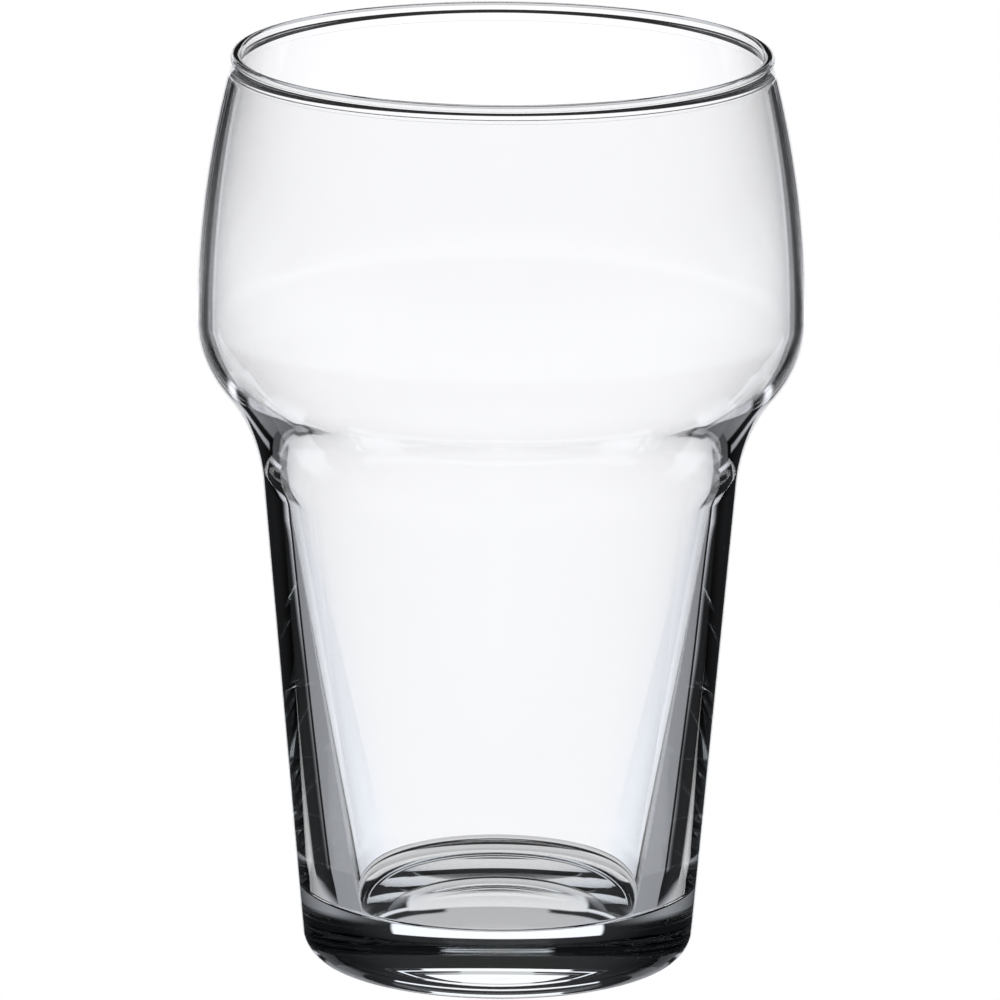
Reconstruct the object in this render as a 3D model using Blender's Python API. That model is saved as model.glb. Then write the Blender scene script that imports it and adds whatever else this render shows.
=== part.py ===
"""A pint tumbler in clear pressed glass, turned about +Z, standing on the origin. Sizes are in metres.

The outer and the inner side have the same make-up, from the bottom up: a rounded corner, a straight
taper, a neck that sweeps outwards, a round shoulder, and a bowl that closes in a little towards the
lip. The lip is a rounded bead. The wall gets thicker towards the base, which is solid, with a shallow
hollow underneath, so that the glass stands on a flat ring.
"""

import math

import bpy
from mathutils import Vector

# Heights above the table
GLASS_HEIGHT = 0.1480
WIDEST_HEIGHT = 0.1054
FLOOR_HEIGHT = 0.0110

# Outer side
BASE_RADIUS = 0.03105
BODY_TAPER = math.radians(5.0)
BOWL_RADIUS = 0.0485
HEEL_ROUND = 0.0049
NECK_SWEEP = 0.0280
SHOULDER_ROUND = 0.0180

# Walls, measured level
WALL_AT_FLOOR = 0.0085
WALL_AT_NECK = 0.0030
WALL_AT_BOWL = 0.0017
WALL_AT_LIP = 0.0013

# Inner side
FLOOR_ROUND = 0.0010
LEDGE_SWEEP = 0.0260
INNER_SHOULDER_ROUND = 0.0160

# Lip
LIP_RADIUS = 0.0423
LIP_BEAD_PROUD = 0.00025

# Underside
RESTING_RING_WIDTH = 0.0025
HOLLOW_DEPTH = 0.0030

TURNS_AROUND = 64
CORNER_STEPS = 4
SWEEP_STEPS = 6
BOWL_STEPS = 6
LIP_STEPS = 8
HOLLOW_STEPS = 4

MERGE_DISTANCE = 0.00001


def clear_scene():
    for old in list(bpy.data.objects):
        bpy.data.objects.remove(old, do_unlink=True)


def glass_material():
    material = bpy.data.materials.new("clear_glass")
    material.use_nodes = True
    shader = material.node_tree.nodes["Principled BSDF"]
    shader.inputs["Base Color"].default_value = (0.96, 0.98, 0.98, 1.0)
    shader.inputs["Metallic"].default_value = 0.0
    shader.inputs["Roughness"].default_value = 0.02
    shader.inputs["IOR"].default_value = 1.52
    shader.inputs["Transmission Weight"].default_value = 1.0
    return material


def arc(centre, radius, start, end, steps):
    """Points along a circle in the (radius, height) plane, both ends included."""
    return [
        centre + radius * Vector((math.cos(angle), math.sin(angle)))
        for angle in (start + (end - start) * i / steps for i in range(steps + 1))
    ]


def corner(foot, taper, radius):
    """The rounded corner between the level line through foot and the side that rises from foot."""
    centre = foot + Vector((radius * (math.tan(taper) - 1 / math.cos(taper)), radius))
    return arc(centre, radius, -math.pi / 2, -taper, CORNER_STEPS)


def neck_centre(foot, taper, sweep, shoulder, shoulder_radius):
    """The centre of the hollow sweep that touches both the tapering side and the shoulder's circle."""
    slope = math.tan(taper)
    offset = foot.x + sweep / math.cos(taper) - slope * foot.y - shoulder.x
    a = 1 + slope**2
    b = 2 * (slope * offset - shoulder.y)
    c = offset**2 + shoulder.y**2 - (shoulder_radius + sweep) ** 2
    height = (-b - math.sqrt(b**2 - 4 * a * c)) / (2 * a)
    return Vector((offset + shoulder.x + slope * height, height))


def side(foot, taper, foot_round, sweep, shoulder_round, widest, top):
    """One side of the wall from the bottom up, as the points of its outline."""
    shoulder = widest - Vector((shoulder_round, 0))
    neck = neck_centre(foot, taper, sweep, shoulder, shoulder_round)
    lean = math.atan2(shoulder.y - neck.y, neck.x - shoulder.x)
    points = corner(foot, taper, foot_round)
    points += arc(neck, sweep, math.pi - taper, math.pi - lean, SWEEP_STEPS)
    points += arc(shoulder, shoulder_round, -lean, 0, SWEEP_STEPS)[1:]
    rise = top - widest
    for i in range(1, BOWL_STEPS):
        share = i / BOWL_STEPS
        points.append(widest + Vector((rise.x * share**2, rise.y * share)))
    return points


def outer_radius(height):
    """Radius of the outer side's straight taper at a height."""
    return BASE_RADIUS + height * math.tan(BODY_TAPER)


def lip_bead():
    """The rounded lip, from where it leaves the inner side to where it meets the outer side."""
    radius = WALL_AT_LIP / 2 + LIP_BEAD_PROUD
    foot = math.acos(WALL_AT_LIP / 2 / radius)
    return arc(Vector((LIP_RADIUS, GLASS_HEIGHT - radius)), radius, math.pi + foot, -foot, LIP_STEPS)


def outer_side(widest, lip_edge):
    """The outer side, from the edge of the resting ring to the lip."""
    foot = Vector((BASE_RADIUS, 0))
    return side(foot, BODY_TAPER, HEEL_ROUND, NECK_SWEEP, SHOULDER_ROUND, widest, lip_edge)


def inner_side(widest, lip_edge):
    """The inner side, from the edge of the floor to the lip, a wall's thickness inside the outer side."""
    shoulder = widest - Vector((SHOULDER_ROUND, 0))
    outer_foot = Vector((BASE_RADIUS, 0))
    neck_height = neck_centre(outer_foot, BODY_TAPER, NECK_SWEEP, shoulder, SHOULDER_ROUND).y
    foot = Vector((outer_radius(FLOOR_HEIGHT) - WALL_AT_FLOOR, FLOOR_HEIGHT))
    neck = Vector((outer_radius(neck_height) - WALL_AT_NECK, neck_height))
    taper = math.atan2(neck.x - foot.x, neck.y - foot.y)
    inner_widest = widest - Vector((WALL_AT_BOWL, 0))
    return side(foot, taper, FLOOR_ROUND, LEDGE_SWEEP, INNER_SHOULDER_ROUND, inner_widest, lip_edge)


def underside(ring_edge):
    """The shallow hollow under the base, from the resting ring's inner edge to its top in the middle."""
    radius = (ring_edge**2 + HOLLOW_DEPTH**2) / (2 * HOLLOW_DEPTH)
    centre = Vector((0, HOLLOW_DEPTH - radius))
    return arc(centre, radius, math.acos(ring_edge / radius), math.pi / 2, HOLLOW_STEPS)


def outline():
    """The wall's closed outline, from the middle of the floor over the lip to the middle of the underside."""
    widest = Vector((BOWL_RADIUS, WIDEST_HEIGHT))
    lip = lip_bead()
    outer = outer_side(widest, lip[-1])
    inner = inner_side(widest, lip[0])
    hollow = underside(outer[0].x - RESTING_RING_WIDTH)
    return [Vector((0, FLOOR_HEIGHT))] + inner + lip + outer[::-1] + hollow


def glass_body():
    """The whole glass: its outline in the XZ plane, turned once round Z by a Screw modifier."""
    points = [(point.x, 0, point.y) for point in outline()]
    edges = [(i, i + 1) for i in range(len(points) - 1)]
    mesh = bpy.data.meshes.new("glass_body")
    mesh.from_pydata(points, edges, [])
    body = bpy.data.objects.new("glass_body", mesh)
    bpy.context.scene.collection.objects.link(body)
    body.data.materials.append(glass_material())
    turn = body.modifiers.new("turn", "SCREW")
    turn.axis = "Z"
    turn.angle = 2 * math.pi
    turn.steps = TURNS_AROUND
    turn.render_steps = TURNS_AROUND
    turn.use_merge_vertices = True
    turn.merge_threshold = MERGE_DISTANCE
    turn.use_smooth_shade = True
    return body


clear_scene()
glass_body()
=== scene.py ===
"""Clear pint tumbler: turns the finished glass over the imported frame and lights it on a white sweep."""

import math
from typing import NamedTuple

import bmesh
import bpy
from bpy.props import FloatProperty, FloatVectorProperty, IntProperty, PointerProperty
from bpy.types import Operator, Panel, PropertyGroup
from mathutils import Matrix, Vector


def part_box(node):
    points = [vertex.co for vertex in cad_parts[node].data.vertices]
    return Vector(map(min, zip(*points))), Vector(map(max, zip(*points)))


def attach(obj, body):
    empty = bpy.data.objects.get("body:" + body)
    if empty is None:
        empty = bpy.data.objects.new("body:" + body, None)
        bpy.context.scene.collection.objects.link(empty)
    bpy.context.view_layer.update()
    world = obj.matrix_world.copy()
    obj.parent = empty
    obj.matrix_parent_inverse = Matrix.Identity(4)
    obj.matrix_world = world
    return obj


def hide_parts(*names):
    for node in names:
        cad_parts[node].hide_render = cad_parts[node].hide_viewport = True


bl_info = {
    "name": "Pint Tumbler",
    "version": (1, 0, 0),
    "blender": (4, 5, 0),
    "location": "3D Viewport > Sidebar > Tumbler",
    "description": "Turns a clear pint tumbler and stands it in a small white studio",
    "category": "Object",
}

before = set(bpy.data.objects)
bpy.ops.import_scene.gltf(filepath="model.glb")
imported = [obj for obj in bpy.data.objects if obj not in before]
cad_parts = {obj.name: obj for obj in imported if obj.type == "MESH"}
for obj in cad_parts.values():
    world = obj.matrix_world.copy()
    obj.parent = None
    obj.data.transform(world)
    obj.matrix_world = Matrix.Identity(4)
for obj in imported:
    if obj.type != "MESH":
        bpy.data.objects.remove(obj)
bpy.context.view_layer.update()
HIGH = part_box("glass_body")[1]

# How finely the outline is drawn
CORNER_STEPS = 12
TAPER_STEPS = 12
SWEEP_STEPS = 20
BOWL_STEPS = 20
LIP_STEPS = 20
FLOOR_STEPS = 4
HOLLOW_STEPS = 16

# The worn foot
SPECKS_PER_METRE = 900
SPECK_EDGES = (0.35, 0.7)

# The table, the tent and the camera, in metres and radians, with the lens and its sensor in millimetres
TABLE_REACH = 6.0
TABLE_GAP = 0.0003
TENT_RADIUS = 20.0
TENT_SEGMENTS = 64
TENT_RINGS = 32
LIGHT_BOUNCES = 20
CAMERA_DISTANCE = 1.918
CAMERA_RISE = 0.2326
CAMERA_ROLL = 0.0061
CAMERA_REACH = 50
AIM_HEIGHT = 0.0751
LENS = 432.0
SENSOR_WIDTH = 36


class Field(NamedTuple):
    """A part of the tent: turns from the middle of the wall and rises above level, in degrees."""

    left: float
    right: float
    low: float
    high: float


# Where the bright and dark fields of the tent lie and how they meet
WALL_FOOT = -6
TABLE_MIDDLE = Field(-14, 14, -24.6, WALL_FOOT)
TABLE_STRIP = Field(-31, 31, -21.5, -19.5)
FOOT_CENTRE = Field(-7, 7, -36, -22)
FOOT_APRON = Field(-34, 34, -45, -24.8)
FLANK = Field(34, 62, -36, -24)
SOFTBOX = Field(-45, 45, 47, 62)
SHADOW_RING = Field(-181, 181, -58, -47)
EDGE_SOFTNESS = math.radians(0.6)
EDGE_SLANT = 0.205
TABLE_BLEND = (55, 75)
TABLE_EDGE = (-35, -37)
PANEL_BLEND = (22, 50)
PANEL_FOOT = (-18, -12)
PANEL_TOP = (0, -10)
ROOM_BLEND = (15, 45)
ROOM_FALL = 5
TINT_BLEND = (8, 18)
MIDDLE_TINT = (0.985, 0.985, 1, 1)
SIDE_TINT = (0.96, 0.99, 1.06, 1)


# Sizes and finishes that a user may change


class TumblerShape(PropertyGroup):
    height: FloatProperty(
        name="Height", description="Table to the top of the lip", default=HIGH.z, unit="LENGTH"
    )
    bowl_radius: FloatProperty(
        name="Bowl radius", description="Widest radius of the bowl", default=HIGH.x, unit="LENGTH"
    )
    widest_height: FloatProperty(
        name="Widest height",
        description="Height where the bowl is widest",
        default=0.1054,
        unit="LENGTH",
    )
    floor_height: FloatProperty(
        name="Floor height", description="Table to the inner floor", default=0.0110, unit="LENGTH"
    )
    base_radius: FloatProperty(
        name="Base radius",
        description="Outer taper carried down to the table",
        default=0.03105,
        unit="LENGTH",
    )
    body_taper: FloatProperty(
        name="Body taper",
        description="Slope of the body's outer side",
        default=math.radians(5),
        unit="ROTATION",
    )
    heel_round: FloatProperty(
        name="Heel round", description="Radius of the outer bottom corner", default=0.0049, unit="LENGTH"
    )
    neck_sweep: FloatProperty(
        name="Neck sweep",
        description="Radius of the hollow sweep under the bowl",
        default=0.0280,
        unit="LENGTH",
    )
    shoulder_round: FloatProperty(
        name="Shoulder round",
        description="Radius of the bowl's outer shoulder",
        default=0.0180,
        unit="LENGTH",
    )
    wall_at_floor: FloatProperty(
        name="Wall at floor",
        description="Level thickness of the wall at the inner floor",
        default=0.0085,
        unit="LENGTH",
    )
    wall_at_neck: FloatProperty(
        name="Wall at neck",
        description="Level thickness of the wall at the neck",
        default=0.0030,
        unit="LENGTH",
    )
    wall_at_bowl: FloatProperty(
        name="Wall at bowl",
        description="Thickness of the wall where it is widest",
        default=0.0017,
        unit="LENGTH",
    )
    wall_at_lip: FloatProperty(
        name="Wall at lip",
        description="Thickness of the wall just under the bead",
        default=0.0013,
        unit="LENGTH",
    )
    floor_round: FloatProperty(
        name="Floor round",
        description="Radius of the inner bottom corner",
        default=0.0010,
        unit="LENGTH",
    )
    ledge_sweep: FloatProperty(
        name="Ledge sweep",
        description="Radius of the inner ledge under the bowl",
        default=0.0260,
        unit="LENGTH",
    )
    inner_shoulder_round: FloatProperty(
        name="Inner shoulder",
        description="Radius of the bowl's inner shoulder",
        default=0.0160,
        unit="LENGTH",
    )
    lip_radius: FloatProperty(
        name="Lip radius", description="Radius of the bead's centre line", default=0.0423, unit="LENGTH"
    )
    bead_proud: FloatProperty(
        name="Bead",
        description="How far the bead stands proud of the wall",
        default=0.00025,
        unit="LENGTH",
    )
    ring_width: FloatProperty(
        name="Resting ring",
        description="Width of the flat ring it stands on",
        default=0.0025,
        unit="LENGTH",
    )
    hollow_depth: FloatProperty(
        name="Hollow depth",
        description="Depth of the hollow under the base",
        default=0.0030,
        unit="LENGTH",
    )
    turns: IntProperty(name="Turns", description="Facets around the glass", default=256, min=32, max=320)


class TumblerFinish(PropertyGroup):
    bend: FloatProperty(
        name="Index of refraction",
        description="How strongly the glass bends light",
        default=1.52,
    )
    tint: FloatVectorProperty(
        name="Tint",
        description="Colour that thick glass takes on",
        subtype="COLOR",
        default=(0.86, 0.95, 0.97),
    )
    tint_density: FloatProperty(
        name="Tint density",
        description="Absorption per metre of glass",
        default=4.0,
    )
    polish: FloatProperty(
        name="Polish",
        description="Roughness of clean glass",
        default=0.0,
        subtype="FACTOR",
    )
    wave_depth: FloatProperty(
        name="Wave depth",
        description="Depth of the mould's slow waves",
        default=0.000015,
        precision=6,
        unit="LENGTH",
    )
    wave_size: FloatProperty(
        name="Wave size", description="Length of the mould's slow waves", default=0.02, unit="LENGTH"
    )
    scuff: FloatProperty(
        name="Scuff",
        description="Roughness of the worn foot",
        default=0.1,
        subtype="FACTOR",
    )
    scuff_height: FloatProperty(
        name="Scuff height",
        description="How far up the foot is worn",
        default=0.0004,
        precision=5,
        unit="LENGTH",
    )


class TumblerStudio(PropertyGroup):
    wall_light: FloatProperty(
        name="Wall light",
        description="Radiance of the lit wall behind the glass",
        default=1.1,
    )
    wall_top: FloatProperty(
        name="Wall top",
        description="Angle up to the wall's upper edge",
        default=math.radians(8),
        unit="ROTATION",
    )
    wall_spread: FloatProperty(
        name="Wall spread",
        description="Half the angle that the wall fills",
        default=math.radians(23),
        unit="ROTATION",
    )
    table_light: FloatProperty(
        name="Table light",
        description="Radiance of the table beyond the foot, behind the glass",
        default=0.78,
    )
    front_light: FloatProperty(
        name="Front light",
        description="Radiance of the table beside and before the glass",
        default=0.05,
    )
    foot_light: FloatProperty(
        name="Foot light",
        description="Radiance of the table just behind the glass",
        default=0.66,
    )
    side_light: FloatProperty(
        name="Side light",
        description="Radiance of the white panels at the sides",
        default=0.42,
    )
    flank_light: FloatProperty(
        name="Flank light",
        description="Radiance of the table beside the glass",
        default=0.34,
    )
    overhead_light: FloatProperty(
        name="Overhead light",
        description="Radiance of the softbox above",
        default=0.95,
    )
    room_light: FloatProperty(
        name="Room light",
        description="Radiance of the dark room behind the glass; its sides are darker",
        default=0.03,
    )


# Turning the glass


def arc(centre, radius, start, end, steps):
    """Points along a circle in the (radius, height) plane, both ends included."""
    return [
        centre + radius * Vector((math.cos(angle), math.sin(angle)))
        for angle in (start + (end - start) * i / steps for i in range(steps + 1))
    ]


def stretch(start, end, steps):
    """Points along a straight line, leaving out both ends."""
    return [start.lerp(end, i / steps) for i in range(1, steps)]


def neck_centre(foot, taper, sweep, shoulder, shoulder_radius):
    """The centre of the hollow sweep that touches both the tapering side and the shoulder's circle."""
    slope = math.tan(taper)
    offset = foot.x + sweep / math.cos(taper) - slope * foot.y - shoulder.x
    a = 1 + slope**2
    b = 2 * (slope * offset - shoulder.y)
    c = offset**2 + shoulder.y**2 - (shoulder_radius + sweep) ** 2
    height = (-b - math.sqrt(b**2 - 4 * a * c)) / (2 * a)
    return Vector((offset + shoulder.x + slope * height, height))


def side(foot, taper, foot_round, sweep, shoulder_round, widest, top):
    """One side of the wall from the bottom up: corner, taper, neck, shoulder and bowl."""
    shoulder = widest - Vector((shoulder_round, 0))
    neck = neck_centre(foot, taper, sweep, shoulder, shoulder_round)
    lean = math.atan2(shoulder.y - neck.y, neck.x - shoulder.x)
    corner = foot + Vector((foot_round * (math.tan(taper) - 1 / math.cos(taper)), foot_round))
    points = arc(corner, foot_round, -math.pi / 2, -taper, CORNER_STEPS)
    bend = arc(neck, sweep, math.pi - taper, math.pi - lean, SWEEP_STEPS)
    points += stretch(points[-1], bend[0], TAPER_STEPS) + bend
    points += arc(shoulder, shoulder_round, -lean, 0, SWEEP_STEPS)[1:]
    rise = top - widest
    for i in range(1, BOWL_STEPS):
        share = i / BOWL_STEPS
        points.append(widest + Vector((rise.x * share**2, rise.y * share)))
    return points


def outline(shape):
    """The wall's outline, from the middle of the floor over the lip to the middle of the underside."""
    widest = Vector((shape.bowl_radius, shape.widest_height))
    bead_radius = shape.wall_at_lip / 2 + shape.bead_proud
    bead_foot = math.acos(shape.wall_at_lip / 2 / bead_radius)
    bead_centre = Vector((shape.lip_radius, shape.height - bead_radius))
    lip = arc(bead_centre, bead_radius, math.pi + bead_foot, -bead_foot, LIP_STEPS)

    foot = Vector((shape.base_radius, 0))
    outer = side(
        foot,
        shape.body_taper,
        shape.heel_round,
        shape.neck_sweep,
        shape.shoulder_round,
        widest,
        lip[-1],
    )

    def outer_radius(height):
        return shape.base_radius + height * math.tan(shape.body_taper)

    shoulder = widest - Vector((shape.shoulder_round, 0))
    neck_height = neck_centre(foot, shape.body_taper, shape.neck_sweep, shoulder, shape.shoulder_round).y
    well_foot = Vector((outer_radius(shape.floor_height) - shape.wall_at_floor, shape.floor_height))
    well_neck = Vector((outer_radius(neck_height) - shape.wall_at_neck, neck_height))
    well_taper = math.atan2(well_neck.x - well_foot.x, well_neck.y - well_foot.y)
    inner_widest = widest - Vector((shape.wall_at_bowl, 0))
    inner = side(
        well_foot,
        well_taper,
        shape.floor_round,
        shape.ledge_sweep,
        shape.inner_shoulder_round,
        inner_widest,
        lip[0],
    )

    middle = Vector((0, shape.floor_height))
    floor = [middle] + stretch(middle, inner[0], FLOOR_STEPS)
    ring_edge = outer[0].x - shape.ring_width
    dome_radius = (ring_edge**2 + shape.hollow_depth**2) / (2 * shape.hollow_depth)
    dome_centre = Vector((0, shape.hollow_depth - dome_radius))
    dome_edge = math.acos(ring_edge / dome_radius)
    hollow = arc(dome_centre, dome_radius, dome_edge, math.pi / 2, HOLLOW_STEPS)
    return floor + inner + lip + outer[::-1] + hollow


def turned_mesh(name, points, turns):
    """A closed mesh: the outline, whose ends lie on the axis, turned once round Z."""
    rings = points[1:-1]
    verts = [Vector((0, 0, points[0].y))]
    for point in rings:
        for i in range(turns):
            angle = 2 * math.pi * i / turns
            verts.append(Vector((point.x * math.cos(angle), point.x * math.sin(angle), point.y)))
    verts.append(Vector((0, 0, points[-1].y)))
    last = len(verts) - 1
    faces = []
    for i in range(turns):
        j = (i + 1) % turns
        faces.append((0, 1 + i, 1 + j))
        for ring in range(len(rings) - 1):
            a, b = 1 + ring * turns, 1 + (ring + 1) * turns
            faces.append((a + i, b + i, b + j, a + j))
        end = 1 + (len(rings) - 1) * turns
        faces.append((last, end + j, end + i))
    mesh = bpy.data.meshes.new(name)
    mesh.from_pydata(verts, [], faces)
    mesh.validate()
    mesh.update()
    mesh.shade_smooth()
    return mesh


# Materials


def new_material(name):
    """A node material; gives its nodes and links with it."""
    material = bpy.data.materials.new(name)
    material.use_nodes = True
    return material, material.node_tree.nodes, material.node_tree.links


def fire_polish():
    """Shader group: the slow waves that moulding leaves, and a roughness for the worn foot."""
    tree = bpy.data.node_groups.new("fire_polish", "ShaderNodeTree")
    for name in ("Wave Depth", "Waves Per Metre", "Polish", "Scuff", "Scuff Height"):
        tree.interface.new_socket(name, in_out="INPUT", socket_type="NodeSocketFloat")
    tree.interface.new_socket("Roughness", in_out="OUTPUT", socket_type="NodeSocketFloat")
    tree.interface.new_socket("Normal", in_out="OUTPUT", socket_type="NodeSocketVector")
    takes = tree.nodes.new("NodeGroupInput").outputs
    gives = tree.nodes.new("NodeGroupOutput").inputs
    place = tree.nodes.new("ShaderNodeTexCoord")

    waves = tree.nodes.new("ShaderNodeTexNoise")
    tree.links.new(place.outputs["Object"], waves.inputs["Vector"])
    tree.links.new(takes["Waves Per Metre"], waves.inputs["Scale"])
    waves.inputs["Detail"].default_value = 0
    bump = tree.nodes.new("ShaderNodeBump")
    tree.links.new(takes["Wave Depth"], bump.inputs["Distance"])
    tree.links.new(waves.outputs["Fac"], bump.inputs["Height"])
    tree.links.new(bump.outputs["Normal"], gives["Normal"])

    split = tree.nodes.new("ShaderNodeSeparateXYZ")
    tree.links.new(place.outputs["Object"], split.inputs[0])
    height = math_node(tree, "DIVIDE", split.outputs["Z"], takes["Scuff Height"])
    specks = tree.nodes.new("ShaderNodeTexNoise")
    tree.links.new(place.outputs["Object"], specks.inputs["Vector"])
    specks.inputs["Scale"].default_value = SPECKS_PER_METRE
    low_down = ease(tree, height, 1.0, 0.0)
    speck = ease(tree, specks.outputs["Fac"], *SPECK_EDGES)
    worn = math_node(tree, "MULTIPLY", low_down, speck)
    rough = math_node(tree, "MULTIPLY_ADD", worn, takes["Scuff"], takes["Polish"])
    tree.links.new(rough, gives["Roughness"])
    return tree


def clear_glass(finish):
    """Fire-polished soda glass: faintly tinted where it is thick, wavy and scuffed underneath."""
    material, nodes, links = new_material("clear_glass")
    shader = nodes["Principled BSDF"]
    shader.inputs["Base Color"].default_value = (1, 1, 1, 1)
    shader.inputs["IOR"].default_value = finish.bend
    shader.inputs["Transmission Weight"].default_value = 1
    surface = nodes.new("ShaderNodeGroup")
    surface.node_tree = fire_polish()
    surface.inputs["Wave Depth"].default_value = finish.wave_depth
    surface.inputs["Waves Per Metre"].default_value = 1 / finish.wave_size
    surface.inputs["Polish"].default_value = finish.polish
    surface.inputs["Scuff"].default_value = finish.scuff
    surface.inputs["Scuff Height"].default_value = finish.scuff_height
    for name in ("Roughness", "Normal"):
        links.new(surface.outputs[name], shader.inputs[name])
    absorption = nodes.new("ShaderNodeVolumeAbsorption")
    absorption.inputs["Color"].default_value = (*finish.tint, 1)
    absorption.inputs["Density"].default_value = finish.tint_density
    links.new(absorption.outputs["Volume"], nodes["Material Output"].inputs["Volume"])
    return material


def math_node(tree, operation, *values):
    """A math node on sockets or plain numbers; gives its output."""
    node = tree.nodes.new("ShaderNodeMath")
    node.operation = operation
    for socket, value in zip(node.inputs, values):
        if isinstance(value, (int, float)):
            socket.default_value = value
        else:
            tree.links.new(value, socket)
    return node.outputs[0]


def ease(tree, value, start, end, low=0.0, high=1.0):
    """A socket that goes smoothly from low to high as value goes from start to end."""
    node = tree.nodes.new("ShaderNodeMapRange")
    node.interpolation_type = "SMOOTHSTEP"
    for name, number in (("From Min", start), ("From Max", end), ("To Min", low), ("To Max", high)):
        node.inputs[name].default_value = number
    tree.links.new(value, node.inputs["Value"])
    return node.outputs[0]


def paper_white():
    """Blank white paper, which the lens sees without shadow."""
    material, nodes, links = new_material("paper_white")
    nodes.remove(nodes["Principled BSDF"])
    paper = nodes.new("ShaderNodeEmission")
    links.new(paper.outputs[0], nodes["Material Output"].inputs["Surface"])
    return material


def blend(tree, angle, edges, low=0.0, high=1.0):
    """Like ease, between two angles in degrees."""
    return ease(tree, angle, math.radians(edges[0]), math.radians(edges[1]), low, high)


def patch(tree, turn, rise, field):
    """A mask that is one inside the field, with soft edges."""
    sides = ((turn, field.left, 1), (turn, field.right, -1), (rise, field.low, 1), (rise, field.high, -1))
    mask = 1.0
    for value, edge, way in sides:
        start = math.radians(edge) - way * EDGE_SOFTNESS
        end = math.radians(edge) + way * EDGE_SOFTNESS
        mask = math_node(tree, "MULTIPLY", mask, ease(tree, value, start, end))
    return mask


def directions(tree):
    """Each way out from the glass: its turn from the middle of the wall, and its rise above level."""
    place = tree.nodes.new("ShaderNodeTexCoord")
    way = tree.nodes.new("ShaderNodeVectorMath")
    way.operation = "NORMALIZE"
    tree.links.new(place.outputs["Object"], way.inputs[0])
    split = tree.nodes.new("ShaderNodeSeparateXYZ")
    tree.links.new(way.outputs[0], split.inputs[0])
    turn = math_node(tree, "ARCTAN2", split.outputs["X"], split.outputs["Y"])
    rise = math_node(tree, "ARCSINE", split.outputs["Z"])
    return turn, rise


def wall_field(tree, studio, turn, rise, slant):
    """The lit wall, the bright middle of the table before it, and a strip that sinks to both sides."""
    spread = math.degrees(studio.wall_spread)
    wall = patch(tree, turn, rise, Field(-spread, spread, WALL_FOOT, math.degrees(studio.wall_top)))
    middle = patch(tree, turn, rise, TABLE_MIDDLE)
    strip = patch(tree, turn, slant, TABLE_STRIP)
    lit = math_node(tree, "MAXIMUM", math_node(tree, "MAXIMUM", wall, middle), strip)
    return math_node(tree, "MULTIPLY", lit, studio.wall_light)


def foot_field(tree, studio, turn, rise, slant):
    """The table just behind the foot."""
    centre = patch(tree, turn, rise, FOOT_CENTRE)
    apron = patch(tree, turn, slant, FOOT_APRON)
    return math_node(tree, "MULTIPLY", math_node(tree, "MAXIMUM", centre, apron), studio.foot_light)


def table_field(tree, studio, aside, rise):
    """The table close round the glass, which is dark beside and before it."""
    level = blend(tree, aside, TABLE_BLEND, studio.table_light, studio.front_light)
    return math_node(tree, "MULTIPLY", blend(tree, rise, TABLE_EDGE), level)


def panel_field(tree, studio, aside, rise):
    """Soft white panels at the sides and in front, low down."""
    panels = blend(tree, aside, PANEL_BLEND, 0.0, studio.side_light)
    for edges in (PANEL_FOOT, PANEL_TOP):
        panels = math_node(tree, "MULTIPLY", panels, blend(tree, rise, edges))
    return panels


def tent_light(studio):
    """What stands round the glass: a lit wall, a table, side panels, a softbox and a dark room."""
    material, nodes, links = new_material("tent_light")
    tree = material.node_tree
    nodes.remove(nodes["Principled BSDF"])
    turn, rise = directions(tree)
    aside = math_node(tree, "ABSOLUTE", turn)
    slant = math_node(tree, "MULTIPLY_ADD", aside, EDGE_SLANT, rise)

    light = wall_field(tree, studio, turn, rise, slant)
    for field in (
        table_field(tree, studio, aside, rise),
        foot_field(tree, studio, turn, rise, slant),
        math_node(tree, "MULTIPLY", patch(tree, turn, rise, SOFTBOX), studio.overhead_light),
        math_node(tree, "MULTIPLY", patch(tree, aside, rise, FLANK), studio.flank_light),
        panel_field(tree, studio, aside, rise),
    ):
        light = math_node(tree, "MAXIMUM", light, field)
    unshaded = math_node(tree, "SUBTRACT", 1.0, patch(tree, turn, rise, SHADOW_RING))
    light = math_node(tree, "MULTIPLY", light, unshaded)
    room = blend(tree, aside, ROOM_BLEND, studio.room_light, studio.room_light / ROOM_FALL)
    light = math_node(tree, "ADD", light, room)

    tint = nodes.new("ShaderNodeMix")
    tint.data_type = "RGBA"
    links.new(blend(tree, aside, TINT_BLEND), tint.inputs["Factor"])
    tint.inputs["A"].default_value = MIDDLE_TINT
    tint.inputs["B"].default_value = SIDE_TINT
    glow = nodes.new("ShaderNodeEmission")
    links.new(tint.outputs["Result"], glow.inputs["Color"])
    links.new(light, glow.inputs["Strength"])
    links.new(glow.outputs[0], nodes["Material Output"].inputs["Surface"])
    material.cycles.emission_sampling = "NONE"
    return material


def paper_world():
    """A plain white world, which is what the lens sees past the table."""
    world = bpy.data.worlds.new("paper_world")
    world.use_nodes = True
    world.node_tree.nodes["Background"].inputs["Color"].default_value = (1, 1, 1, 1)
    bpy.context.scene.world = world


# Studio


def stage_object(name, mesh, material, centre):
    """A piece of the studio, which is not part of the glass."""
    mesh.materials.append(material)
    obj = bpy.data.objects.new(name, mesh)
    obj.location = centre
    bpy.context.scene.collection.objects.link(obj)
    return obj


def tent(studio, centre):
    """The light tent, which only the glass sees."""
    mesh = bpy.data.meshes.new("tent")
    shell = bmesh.new()
    bmesh.ops.create_uvsphere(shell, u_segments=TENT_SEGMENTS, v_segments=TENT_RINGS, radius=TENT_RADIUS)
    shell.to_mesh(mesh)
    shell.free()
    obj = stage_object("tent", mesh, tent_light(studio), centre)
    obj.visible_camera = False
    return obj


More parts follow.
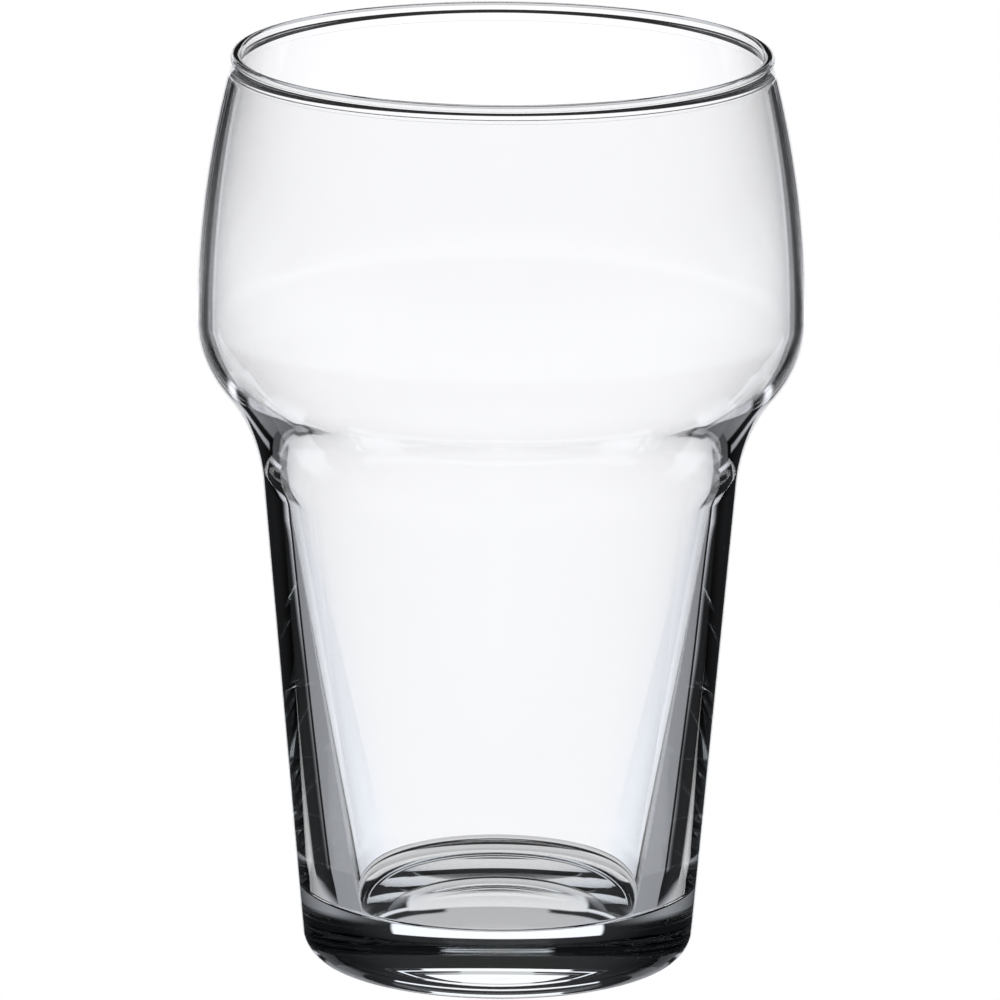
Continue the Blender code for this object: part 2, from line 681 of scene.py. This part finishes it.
def table():
    """The white table, which the lens sees beside the glass but not through it."""
    mesh = bpy.data.meshes.new("table")
    sheet = bmesh.new()
    bmesh.ops.create_grid(sheet, x_segments=1, y_segments=1, size=TABLE_REACH)
    sheet.to_mesh(mesh)
    sheet.free()
    obj = stage_object("table", mesh, paper_white(), Vector((0, 0, -TABLE_GAP)))
    obj.visible_glossy = False
    obj.visible_transmission = False
    return obj


def camera(aim):
    """The camera in front of the glass, looking down a little."""
    data = bpy.data.cameras.new("camera")
    data.lens = LENS
    data.sensor_width = SENSOR_WIDTH
    data.clip_end = CAMERA_REACH
    shot = bpy.data.objects.new("camera", data)
    bpy.context.scene.collection.objects.link(shot)
    way = Vector((0, -math.cos(CAMERA_RISE), math.sin(CAMERA_RISE)))
    turn = way.to_track_quat("Z", "Y").to_matrix().to_4x4() @ Matrix.Rotation(CAMERA_ROLL, 4, "Z")
    shot.matrix_world = Matrix.Translation(aim + CAMERA_DISTANCE * way) @ turn
    bpy.context.scene.camera = shot
    return shot


# Operators


class TUMBLER_OT_glass(Operator):
    """Turn the glass and give it its finish"""

    bl_idname = "tumbler.glass"
    bl_label = "Turn the Glass"

    def execute(self, context):
        scene = context.scene
        mesh = turned_mesh("glass", outline(scene.tumbler_shape), scene.tumbler_shape.turns)
        mesh.materials.append(clear_glass(scene.tumbler_finish))
        glass = bpy.data.objects.new("glass", mesh)
        scene.collection.objects.link(glass)
        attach(glass, "root")
        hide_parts("glass_body")
        return {"FINISHED"}


class TUMBLER_OT_stage(Operator):
    """Set the table, the lights and the camera"""

    bl_idname = "tumbler.stage"
    bl_label = "Set the Stage"

    def execute(self, context):
        studio = context.scene.tumbler_studio
        aim = Vector((0, 0, AIM_HEIGHT))
        paper_world()
        table()
        shade = tent(studio, aim)
        shot = camera(aim)
        context.view_layer.update()
        place = shade.matrix_world.copy()
        shade.parent = shot
        shade.matrix_world = place
        context.scene.view_settings.view_transform = "Standard"
        context.scene.cycles.max_bounces = LIGHT_BOUNCES
        context.scene.cycles.glossy_bounces = LIGHT_BOUNCES
        context.scene.cycles.transmission_bounces = LIGHT_BOUNCES
        return {"FINISHED"}


class TUMBLER_PT_panel(Panel):
    """The tumbler's steps and settings"""

    bl_idname = "TUMBLER_PT_panel"
    bl_label = "Pint Tumbler"
    bl_space_type = "VIEW_3D"
    bl_region_type = "UI"
    bl_category = "Tumbler"

    def draw(self, context):
        layout = self.layout
        for step in STEPS:
            layout.operator(step.bl_idname)
        for name in GROUPS:
            group = getattr(context.scene, name)
            box = layout.box()
            for prop in group.bl_rna.properties:
                if prop.identifier not in {"rna_type", "name"}:
                    box.prop(group, prop.identifier)


STEPS = (TUMBLER_OT_glass, TUMBLER_OT_stage)
GROUPS = {"tumbler_shape": TumblerShape, "tumbler_finish": TumblerFinish, "tumbler_studio": TumblerStudio}


def register():
    for cls in (*GROUPS.values(), *STEPS, TUMBLER_PT_panel):
        bpy.utils.register_class(cls)
    for name, group in GROUPS.items():
        setattr(bpy.types.Scene, name, PointerProperty(type=group))


def unregister():
    for name in GROUPS:
        delattr(bpy.types.Scene, name)
    for cls in (TUMBLER_PT_panel, *STEPS, *GROUPS.values()):
        bpy.utils.unregister_class(cls)


def main():
    """Builds the glass and its stage."""
    register()
    bpy.ops.tumbler.glass()
    bpy.ops.tumbler.stage()


if __name__ == "__main__":
    main()
